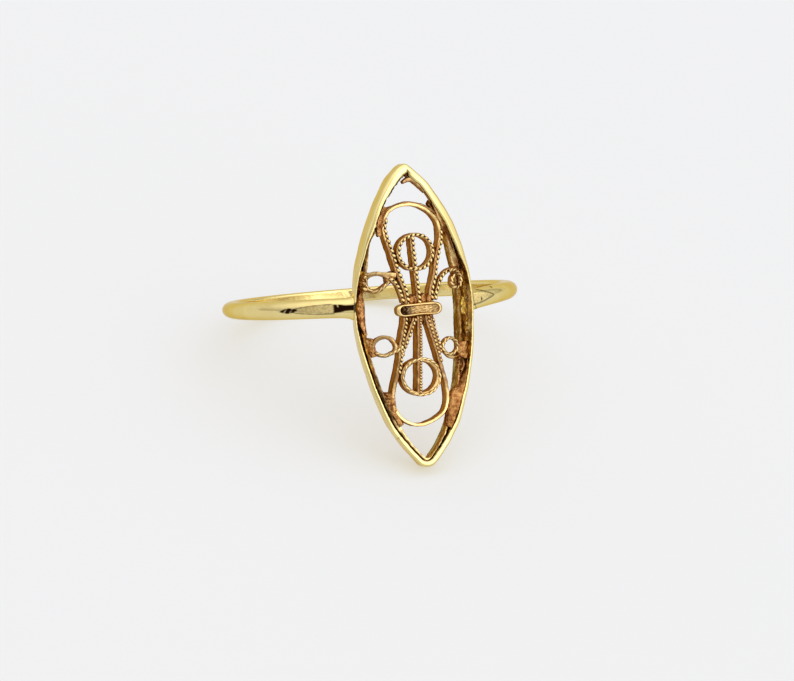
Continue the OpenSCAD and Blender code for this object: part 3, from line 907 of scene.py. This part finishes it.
def solder_web(left, right, front=0.05, depth=0.55, seed=60, soot=0.15, sag=0.25, climb=(0, 0)):
    """A web between two edges given at the same heights: an oval section spans them.
    Its top sags in the middle, and climb brings the left and the right edge forward."""
    share = np.linspace(0, 1, 60)
    lines = [flow(edge_points, 0.04)[0] for edge_points in (left, right)]
    ends = [np.stack([np.interp(share, np.linspace(0, 1, len(e)), e[:, k]) for k in (0, 1)], -1)
            for e in lines]
    middle, half = (ends[0] + ends[1]) / 2, (ends[1] - ends[0]) / 2
    angle = np.linspace(0, 2 * math.pi, 40, endpoint=False)
    reach = np.sign(np.cos(angle)) * np.abs(np.cos(angle)) ** 0.6
    x = middle[:, :1] + half[:, :1] * reach
    z = middle[:, 1:] + half[:, 1:] * reach - sag * (1 - reach ** 2) * (1 - share[:, None]) ** 3
    down = front + depth / 2 - depth / 2 * np.sin(angle) + 0 * x
    grid = np.stack([x, panel_y(x) + down, z - FRAME_DROP], -1)
    grid[..., 1] -= (climb[0] * (1 - reach) + climb[1] * (1 + reach)) / 2
    bumps = waver(grid, 0.4, seed) * 0.03 + waver(grid, 0.24, seed + 1) * 0.025
    grid[..., 1] += bumps + waver(grid, 0.15, seed + 3) * 0.02
    wear = 0.5 + 0.5 * waver(grid, 0.4, seed + 2)
    return skin(grid, wear=wear, soot=soot + 0.5 * smooth_step(0.3, 0.6, down))


def ball_angles(rows, columns, short):
    """Two angles over a ball: from pole to pole, a little short of each, and once round."""
    return np.meshgrid(np.linspace(short, math.pi - short, rows),
                       np.linspace(0, 2 * math.pi, columns, endpoint=False), indexing="ij")


def solder_spot(x, z, across, high, deep, front, seed):
    """A blob: a ball squeezed to three half sizes, its radius wandering a few per cent."""
    polar, azimuth = ball_angles(22, 28, 0.02)
    ball = np.stack([np.sin(polar) * np.cos(azimuth), -np.cos(polar),
                     np.sin(polar) * np.sin(azimuth)], -1)
    centre = np.array([x, panel_y(x) + front + deep, z - FRAME_DROP])
    grid = centre + ball * np.array([across, deep, high])
    grid += ball * np.array([1, -1, 1]) * (waver(grid, 0.3, seed) * 0.03)[..., None]
    return skin(grid, wear=0.45 + 0.5 * waver(grid, 0.3, seed + 2), soot=0.1)


# %% The solder itself
# Each row: x, z, half width, half height, half depth, how far behind the face, seed.
SOLDER_SPOTS = [
    (-0.22, 1.0, 0.26, 0.38, 0.3, -0.1, 71), (0.56, 1.0, 0.26, 0.4, 0.3, -0.1, 83),
    (0.94, 0.98, 0.24, 0.36, 0.3, -0.08, 84), (0.02, 0.98, 0.22, 0.34, 0.3, -0.1, 85),
    (-0.3, -0.1, 0.25, 0.4, 0.3, 0.14, 72), (0.45, -0.05, 0.22, 0.42, 0.3, 0.14, 86),
    (0.62, -0.2, 0.2, 0.42, 0.3, 0.12, 87), (1.05, -0.15, 0.2, 0.4, 0.3, 0.16, 88),
    (-1.0, 3.5, 0.2, 0.5, 0.35, 0.12, 73), (1.6, 3.7, 0.2, 0.5, 0.35, 0.12, 74),
    (-1.08, -3.1, 0.2, 0.35, 0.35, 0.12, 75), (1.3, -3.3, 0.2, 0.4, 0.35, 0.12, 76),
    (-1.3, 2.55, 0.5, 0.32, 0.35, 0.04, 77), (-1.53, 2.32, 0.24, 0.3, 0.35, 0.02, 89),
    (-1.22, -1.85, 0.22, 0.3, 0.35, 0.04, 78), (1.5, -2.0, 0.18, 0.3, 0.35, 0.1, 82),
    (3.0, -3.22, 0.27, 0.5, 0.3, 0.0, 90), (3.02, -3.85, 0.22, 0.45, 0.3, 0.0, 91),
]
make_piece("solder", [
    solder_web([(-2.1, 5.2), (-2.12, 5.8), (-1.98, 6.3), (-1.62, 6.95)],
               [(-1.6, 5.4), (-1.5, 5.75), (-1.42, 6.2), (-1.2, 6.72)],
               seed=61, soot=0, climb=(0.5, 0)),
    solder_web([(1.35, 6.98), (1.6, 6.4), (2.0, 5.75), (2.2, 5.1)],
               [(1.45, 7.1), (1.95, 6.4), (2.4, 5.6), (2.65, 4.9)], seed=63, soot=0.2),
    solder_web([(-2.3, -4.55), (-2.35, -5.0), (-2.05, -5.8), (-1.6, -6.85)],
               [(-1.55, -4.4), (-1.6, -5.1), (-1.5, -5.8), (-1.22, -6.6)],
               front=-0.03, seed=65, soot=0.05),
    solder_web([(3.3, -2.7), (3.05, -3.7), (2.6, -4.45), (2.0, -4.85), (1.72, -5.6), (1.36, -6.9)],
               [(3.5, -2.4), (3.3, -3.4), (3.1, -4.3), (2.85, -5.1), (2.35, -6.0), (1.72, -7.1)],
               front=-0.1, seed=67, soot=0.0, sag=0.0, climb=(0, 0.6)),
    solder_web([(-3.2, 3.0), (-3.22, 2.3), (-3.18, 1.6)],
               [(-2.85, 2.95), (-2.85, 2.3), (-2.78, 1.7)], front=0.0, seed=69, soot=0.0, sag=0.1),
    solder_web([(-3.15, -1.0), (-3.1, -1.7), (-2.95, -2.4)],
               [(-2.62, -1.2), (-2.52, -1.7), (-2.5, -2.32)],
               front=-0.03, seed=79, soot=0.0, sag=0.1),
    solder_web([(2.76, -1.85), (2.58, -2.2), (2.72, -2.75)],
               [(3.5, -1.85), (3.5, -2.25), (3.42, -2.95)],
               front=-0.12, seed=81, soot=0.1, sag=0.0, climb=(0, 0.6)),
    solder_web([(-3.24, 1.7), (-3.45, 1.26), (-3.52, 0.8), (-3.5, 0.34), (-3.42, -0.13),
                (-3.3, -0.61), (-3.2, -0.95)],
               [(-3.06, 1.68), (-2.97, 1.22), (-2.94, 0.76), (-2.96, 0.29), (-2.98, -0.17),
                (-2.96, -0.64), (-2.93, -0.95)],
               front=-0.03, depth=0.4, seed=93, soot=0.0, sag=0.0, climb=(0.35, 0)),
    *[solder_spot(*row) for row in SOLDER_SPOTS],
], rose_solder, "filigree_panel")

# %% [markdown]
# ## The collar
# A short strap was bent over the waist and hammered: its front is a rounded bar with a shallow
# dish. The surface is a function of two angles. A boxy ball gives the bar, and the front is
# pressed in by a smooth oval well.

# %% Collar
COLLAR_X, COLLAR_Z = 0.19, 0.42
COLLAR_HALF_X, COLLAR_HALF_Y, COLLAR_HALF_Z = 1.5, 0.5, 0.43
COLLAR_FRONT_Y = -10.53
WELL_DEPTH = 0.15


def boxy(value, power):
    """A sine or cosine with its curve flattened towards a square wave."""
    return np.sign(value) * np.abs(value) ** power


polar, azimuth = ball_angles(90, 140, 0.01)
c_x = COLLAR_HALF_X * boxy(np.sin(polar), 0.45) * boxy(np.cos(azimuth), 0.5)
c_z = COLLAR_HALF_Z * boxy(np.sin(polar), 0.45) * boxy(np.sin(azimuth), 0.75)
from_well = np.hypot(np.maximum(np.abs(c_x - 0.02) - 1.0, 0), c_z)
well = smooth_step(0.31, 0.2, from_well) * (np.cos(polar) > 0)
c_y = COLLAR_HALF_Y - COLLAR_HALF_Y * boxy(np.cos(polar), 0.5) + WELL_DEPTH * well
c_z = c_z * (1 - 0.05 * np.cos(c_x * 2.2)) + 0.015 * np.sin(c_x * 3 + 1)
collar_grid = np.stack([COLLAR_X + c_x, COLLAR_FRONT_Y + c_y, COLLAR_Z - FRAME_DROP + c_z], -1)
collar_bumps = waver(collar_grid, 0.5, 91) * 0.012 + well * waver(collar_grid, 0.2, 92) * 0.02
collar_grid[..., 1] += collar_bumps
# The rim is rubbed bright, the well is dark, darkest on its left, and the flanks are brown.
flank = smooth_step(0.12, 0.3, c_y)
well_soot = 0.42 + 0.2 * waver(collar_grid, 0.2, 93) + 0.52 * smooth_step(-0.1, -0.9, c_x)
collar_soot = well * well_soot + 0.3 * flank + 0.5 * (np.cos(polar) < -0.3)
make_piece("collar", [skin(collar_grid, wear=1.1 - 0.62 * well - 0.7 * flank, soot=collar_soot)],
           wire_gold, "centre_collar")

# %% [markdown]
# ## The table
# A ring is photographed on one pale sheet that runs up behind it in a curve, so no line shows
# between table and wall. This sheet is opal: matt and a little blue from above, lit softly and
# warmly from beneath. The two make a near white that keeps the shadows of the ring pale.

# %% Floor


def sweep_floor(half=0.9, count=40):
    """A flat sheet in front that rises behind: height grows with the square past a line."""
    u, v = np.meshgrid(np.linspace(-half, half, count), np.linspace(-half, half, count),
                       indexing="ij")
    height = 1.6 * np.maximum(v - 0.35, 0) ** 2
    points = np.stack([u, v, height], -1).reshape(-1, 3)
    index = np.arange(count * count).reshape(count, count)
    corners = [index[:-1, :-1], index[1:, :-1], index[1:, 1:], index[:-1, 1:]]
    quads = np.stack(corners, -1).reshape(-1, 4)
    mesh = bpy.data.meshes.new("floor_sheet")
    mesh.from_pydata(points.tolist(), [], quads.tolist())
    mesh.polygons.foreach_set("use_smooth", np.ones(len(quads), bool))
    floor = bpy.data.objects.new("floor_sheet", mesh)
    bpy.context.scene.collection.objects.link(floor)
    return floor


floor = sweep_floor()
paper = bpy.data.materials.new("matt_opal_sheet")
paper.use_nodes = True
paper_tree = paper.node_tree
paper_shader = paper_tree.nodes["Principled BSDF"]
fibres = add_node(paper_tree, "ShaderNodeTexNoise", {"Scale": per_mm(30), "Detail": 2.0})
tint = add_node(paper_tree, "ShaderNodeMix",
                {0: fibres.outputs["Fac"], 6: colour("#8292AA"), 7: colour("#8694AD")},
                data_type="RGBA")
paper_tree.links.new(tint.outputs[2], paper_shader.inputs["Base Color"])
paper_shader.inputs["Roughness"].default_value = 0.9
paper_shader.inputs["Specular IOR Level"].default_value = 0.0
# The light from beneath: a soft warm glow of the sheet's own.
paper_shader.inputs["Emission Color"].default_value = colour("#FFEFCB")
paper_shader.inputs["Emission Strength"].default_value = 0.56
floor.data.materials.append(paper)
print("sheet", [round(side, 2) for side in floor.dimensions], "m")

# %% [markdown]
# ## The light tent
# Gold shows what surrounds it, so most of the light comes from the world, drawn as a white tent
# that is bright overhead and paler at the sides. Soft round patches change it: the tent is
# brighter low on the right and towards the viewer, dimmer behind on the right, and has a small
# dim patch where the lens looks in. The dim places draw the darker streaks in polished gold.

# %% World and lights
world = bpy.data.worlds.new("light_tent")
bpy.context.scene.world = world
world.use_nodes = True
tent = world.node_tree
background = tent.nodes["Background"]
direction = add_node(tent, "ShaderNodeTexCoord").outputs["Generated"]
upward = add_node(tent, "ShaderNodeSeparateXYZ", {0: direction}).outputs["Z"]
rise = add_node(tent, "ShaderNodeMapRange", {0: upward, 1: 0.0, 2: 0.9, 3: 0.45, 4: 1.5})


def toward(azimuth, elevation):
    """The unit direction at an azimuth from the front, positive to the right, and an elevation."""
    a, e = math.radians(azimuth), math.radians(elevation)
    return (math.sin(a) * math.cos(e), -math.cos(a) * math.cos(e), math.sin(e))


def tent_patch(level, azimuth, elevation, inner, outer, gain):
    """The level times gain in a round patch, fading from inner to outer degrees off its middle."""
    facing = add_node(tent, "ShaderNodeVectorMath", {0: direction, 1: toward(azimuth, elevation)},
                      operation="DOT_PRODUCT").outputs["Value"]
    faded = add_node(tent, "ShaderNodeMapRange",
                     {0: facing, 1: math.cos(math.radians(outer)),
                      2: math.cos(math.radians(inner)), 3: 1.0, 4: gain},
                     interpolation_type="SMOOTHSTEP").outputs[0]
    return add_node(tent, "ShaderNodeMath", {0: level, 1: faded}, operation="MULTIPLY").outputs[0]


TENT_PATCHES = [  # azimuth, elevation, inner and outer degrees, gain
    (66, 10, 16, 44, 1.6),  # low on the right
    (150, 10, 10, 40, 0.5),  # behind on the right
    (15, 28, 10, 34, 2.4),  # towards the viewer
    (-19, 30, 4, 13, 0.4),  # where the lens looks in
]
level = rise.outputs[0]
for tent_place in TENT_PATCHES:
    level = tent_patch(level, *tent_place)
tent.links.new(level, background.inputs["Strength"])
background.inputs["Color"].default_value = colour("#FFFDFC")


def softbox(name, azimuth, elevation, distance, size, power):
    """A square area light at a direction and distance from the ring, aimed at it."""
    light = bpy.data.lights.new(name, "AREA")
    light.shape = "SQUARE"
    light.size = size
    light.energy = power
    light.color = colour("#E7F3FF")[:3]
    made = bpy.data.objects.new(name, light)
    place = Vector(toward(azimuth, elevation)) * distance
    made.location = place
    made.rotation_euler = place.to_track_quat("Z", "Y").to_euler()
    bpy.context.scene.collection.objects.link(made)
    return made


softbox("overhead_softbox", azimuth=120, elevation=55, distance=0.5, size=0.4, power=0.14)
bpy.context.scene.view_settings.view_transform = "Standard"
print("tent patches", len(TENT_PATCHES), "and one softbox")

# %% [markdown]
# ## The camera
# A long lens a quarter of a metre away looks down on the ring, from a little to the left and with
# a slight roll. Its three axes are worked out from those angles and set as one matrix, because a
# matrix says the roll as plainly as the place.

# %% Camera
VIEW_AZIMUTH, VIEW_ELEVATION, VIEW_ROLL = -19.12, 30.38, 4.82
VIEW_DISTANCE = 0.25
VIEW_AIM = Vector((1.113, 0.0, 3.16)) * MM
camera = bpy.data.cameras.new("camera")
camera.sensor_width = 36.0
camera.lens = 177.2
camera.clip_start, camera.clip_end = 0.01, 10.0
taker = bpy.data.objects.new("camera", camera)
bpy.context.scene.collection.objects.link(taker)
turned = math.radians(VIEW_AZIMUTH)
rolled = math.radians(VIEW_ROLL)
back = Vector(toward(VIEW_AZIMUTH, VIEW_ELEVATION))
flat_right = Vector((math.cos(turned), math.sin(turned), 0))
flat_up = back.cross(flat_right)
right = flat_right * math.cos(rolled) + flat_up * math.sin(rolled)
up = flat_up * math.cos(rolled) - flat_right * math.sin(rolled)
lens_at = VIEW_AIM + back * VIEW_DISTANCE
taker.matrix_world = (Matrix.Translation(lens_at)
                      @ Matrix([right, up, back]).transposed().to_4x4())
bpy.context.scene.camera = taker
print("camera at", [round(v * 1000, 1) for v in lens_at], "mm, lens", camera.lens)
